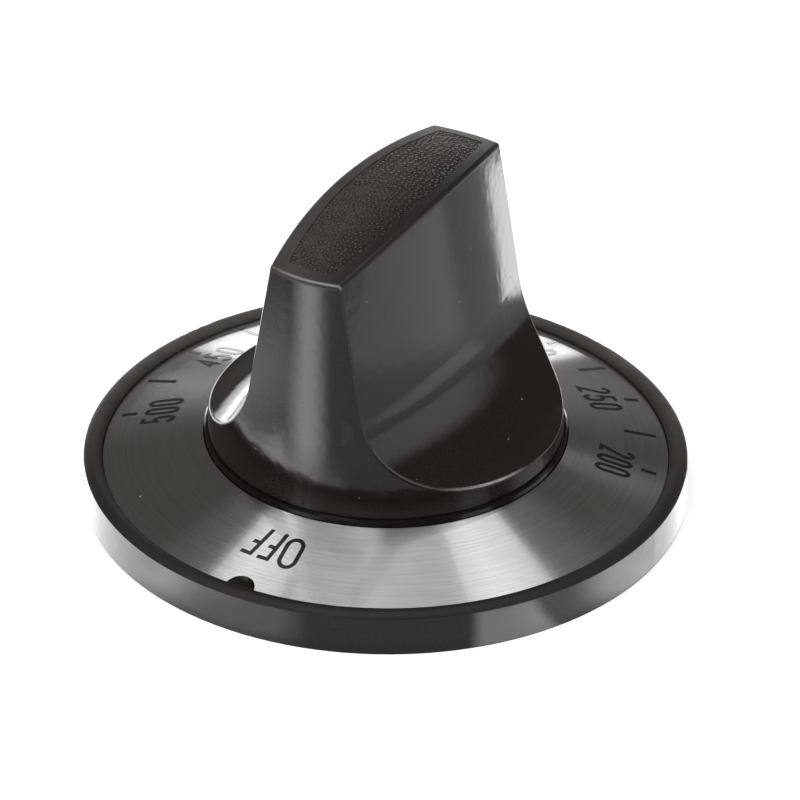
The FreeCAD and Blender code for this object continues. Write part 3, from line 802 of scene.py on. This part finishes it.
def addStroke(bm, points, closed, stroke, place):
    sides = strokeSides(points, closed, stroke / 2)
    rings = []
    for left, right in sides:
        rings.append([bm.verts.new(place(p, lift)) for p, lift in (
            (left, marks["ink"]), (right, marks["ink"]), (right, -marks["sunk"]), (left, -marks["sunk"]))])
    pairs = list(zip(rings, rings[1:] + rings[:1])) if closed else list(zip(rings, rings[1:]))
    for a, b in pairs:
        for k in range(4):
            bm.faces.new((a[k], a[(k + 1) % 4], b[(k + 1) % 4], b[k]))
    if not closed:
        bm.faces.new(rings[0])
        bm.faces.new(rings[-1])


def addGlyph(bm, letter, angle, foot, width, height, stroke, shift=0.0, lean=0.0):
    a = math.radians(angle)
    outwards = Vector((math.sin(a), -math.cos(a)))
    rightwards = Vector((-math.cos(a), -math.sin(a)))

    def place(point, lift):
        flat = outwards * (foot + point.y) + rightwards * (shift + point.x + lean * (point.y - height))
        return (flat.x, flat.y, dialHeight(flat.length) + lift)

    for line, closed in glyphs[letter]:
        points = []
        for x, y in line:
            point = Vector(((x - 0.5) * (width - stroke), stroke / 2 + y * (height - stroke)))
            if not points or (point - points[-1]).length > 1e-6:
                points.append(point)
        if closed and (points[0] - points[-1]).length < 1e-6:
            points.pop()
        addStroke(bm, points, closed, stroke, place)


def finishMesh(bm, name):
    bmesh.ops.recalc_face_normals(bm, faces=bm.faces)
    mesh = bpy.data.meshes.new(name)
    bm.to_mesh(mesh)
    bm.free()
    return mesh


def makeFigures():
    bm = bmesh.new()
    pitch = lettering["figureWidth"] + lettering["figureGap"]
    for i in range(fifties + 1):
        angle = marks["first"] + 2 * marks["step"] * i
        figures = str(marks["hottest"] - 50 * i)
        for k, figure in enumerate(figures):
            addGlyph(bm, figure, angle, lettering["figureFoot"], lettering["figureWidth"],
                     lettering["figureHeight"], lettering["stroke"], (k - (len(figures) - 1) / 2) * pitch)
    return newPiece("dialFigures", finishMesh(bm, "dialFigures"), dialInk)


def makeOff():
    bm = bmesh.new()
    for letter, angle, foot, width, lean in lettering["offLetters"]:
        addGlyph(bm, letter, angle, foot * mm, width * mm, lettering["offHeight"], lettering["offStroke"], lean=lean)
    return newPiece("offMark", finishMesh(bm, "offMark"), dialInk)


makeFigures()
makeOff()
print("figures printed")

# leather grain in the crown's sunk field: packed pebbles on the arched floor
grain = {
    "depth": 0.12 * mm,  # of the field
    "sideArc": 76.05 * mm,
    "sideAxis": 71.94 * mm,
    "endArc": 15.58 * mm,
    "fillAcross": 0.975,
    "fillAlong": 0.985,
    "rows": 48,
    "columns": 12,
    "density": 3.0e7,  # more than the spacing lets in
    "spacing": 0.43 * mm,
    "pebble": 0.27 * mm,
    "flatness": 0.34,
    "smallest": 0.72,
    "largest": 1.12,
    "seed": 7,
    "sizeSeed": 3,
}


def fieldHalfWidth(y):
    return math.sqrt(grain["sideArc"] ** 2 - y * y) - grain["sideAxis"]


def fieldHeight(y):
    top, radius, shift = (crownArch[key] * mm for key in ("top", "radius", "shift"))
    floor = radius - grain["depth"]
    return top - radius + math.sqrt(floor ** 2 - (y - shift) ** 2)


def makeFieldPatch():
    rows, columns = grain["rows"], grain["columns"]
    bm = bmesh.new()
    table = []
    for i in range(rows + 1):
        v = 2 * i / rows - 1
        line = []
        for j in range(columns + 1):
            u = (2 * j / columns - 1) * grain["fillAcross"]
            x0 = u * fieldHalfWidth(v * grain["endArc"])
            y = v * grain["fillAlong"] * math.sqrt(grain["endArc"] ** 2 - x0 * x0)
            line.append(bm.verts.new((u * fieldHalfWidth(y), y, fieldHeight(y))))
        table.append(line)
    for a, b in zip(table, table[1:]):
        for j in range(columns):
            bm.faces.new((a[j], a[j + 1], b[j + 1], b[j]))
    mesh = bpy.data.meshes.new("crownField")
    bm.to_mesh(mesh)
    bm.free()
    return mesh


def makeGrainTree():
    group, entry, result = newGroup("pebbleGrain", "GeometryNodeTree", [
        ("Geometry", "NodeSocketGeometry", None),
        ("Spacing", "NodeSocketFloat", 0.0004),
        ("Pebble", "NodeSocketFloat", 0.00025),
        ("Flatness", "NodeSocketFloat", 0.4),
        ("Smallest", "NodeSocketFloat", 0.7),
        ("Largest", "NodeSocketFloat", 1.1),
        ("Seed", "NodeSocketInt", 1),
        ("Material", "NodeSocketMaterial", None),
    ], [("Geometry", "NodeSocketGeometry")])
    scatter = newNode(group, "GeometryNodeDistributePointsOnFaces", {
        "Mesh": entry.outputs["Geometry"], "Distance Min": entry.outputs["Spacing"],
        "Density Max": grain["density"], "Seed": entry.outputs["Seed"]}, distribute_method="POISSON")
    ball = newNode(group, "GeometryNodeMeshIcoSphere", {"Radius": entry.outputs["Pebble"], "Subdivisions": 2})
    press = newNode(group, "ShaderNodeCombineXYZ", {"X": 1.0, "Y": 1.0, "Z": entry.outputs["Flatness"]})
    pressed = newNode(group, "GeometryNodeTransform", {
        "Geometry": ball.outputs["Mesh"], "Scale": press.outputs[0]})
    size = newNode(group, "FunctionNodeRandomValue", {
        2: entry.outputs["Smallest"], 3: entry.outputs["Largest"], "Seed": grain["sizeSeed"]}, data_type="FLOAT")
    packed = newNode(group, "GeometryNodeInstanceOnPoints", {
        "Points": scatter.outputs["Points"], "Instance": pressed.outputs["Geometry"],
        "Rotation": scatter.outputs["Rotation"], "Scale": size.outputs[1]})
    solid = newNode(group, "GeometryNodeRealizeInstances", {"Geometry": packed.outputs["Instances"]})
    smooth = newNode(group, "GeometryNodeSetShadeSmooth", {"Geometry": solid.outputs["Geometry"]})
    dressed = newNode(group, "GeometryNodeSetMaterial", {
        "Geometry": smooth.outputs["Geometry"], "Material": entry.outputs["Material"]})
    group.links.new(dressed.outputs["Geometry"], result.inputs["Geometry"])
    return group


def makeGrain():
    holder = bpy.data.objects.new("grainHolder", makeFieldPatch())
    scene.collection.objects.link(holder)
    modifier = holder.modifiers.new("pebbleGrain", "NODES")
    modifier.node_group = makeGrainTree()
    setInputs(modifier, {
        "Spacing": grain["spacing"], "Pebble": grain["pebble"], "Flatness": grain["flatness"],
        "Smallest": grain["smallest"], "Largest": grain["largest"],
        "Seed": grain["seed"], "Material": grainedBlack})
    mesh = bakeModifier(holder, "crownGrain")
    print("grain triangles:", sum(len(p.vertices) - 2 for p in mesh.polygons))
    return newPiece("crownGrain", mesh, grainedBlack)


makeGrain()
print("crown grained")
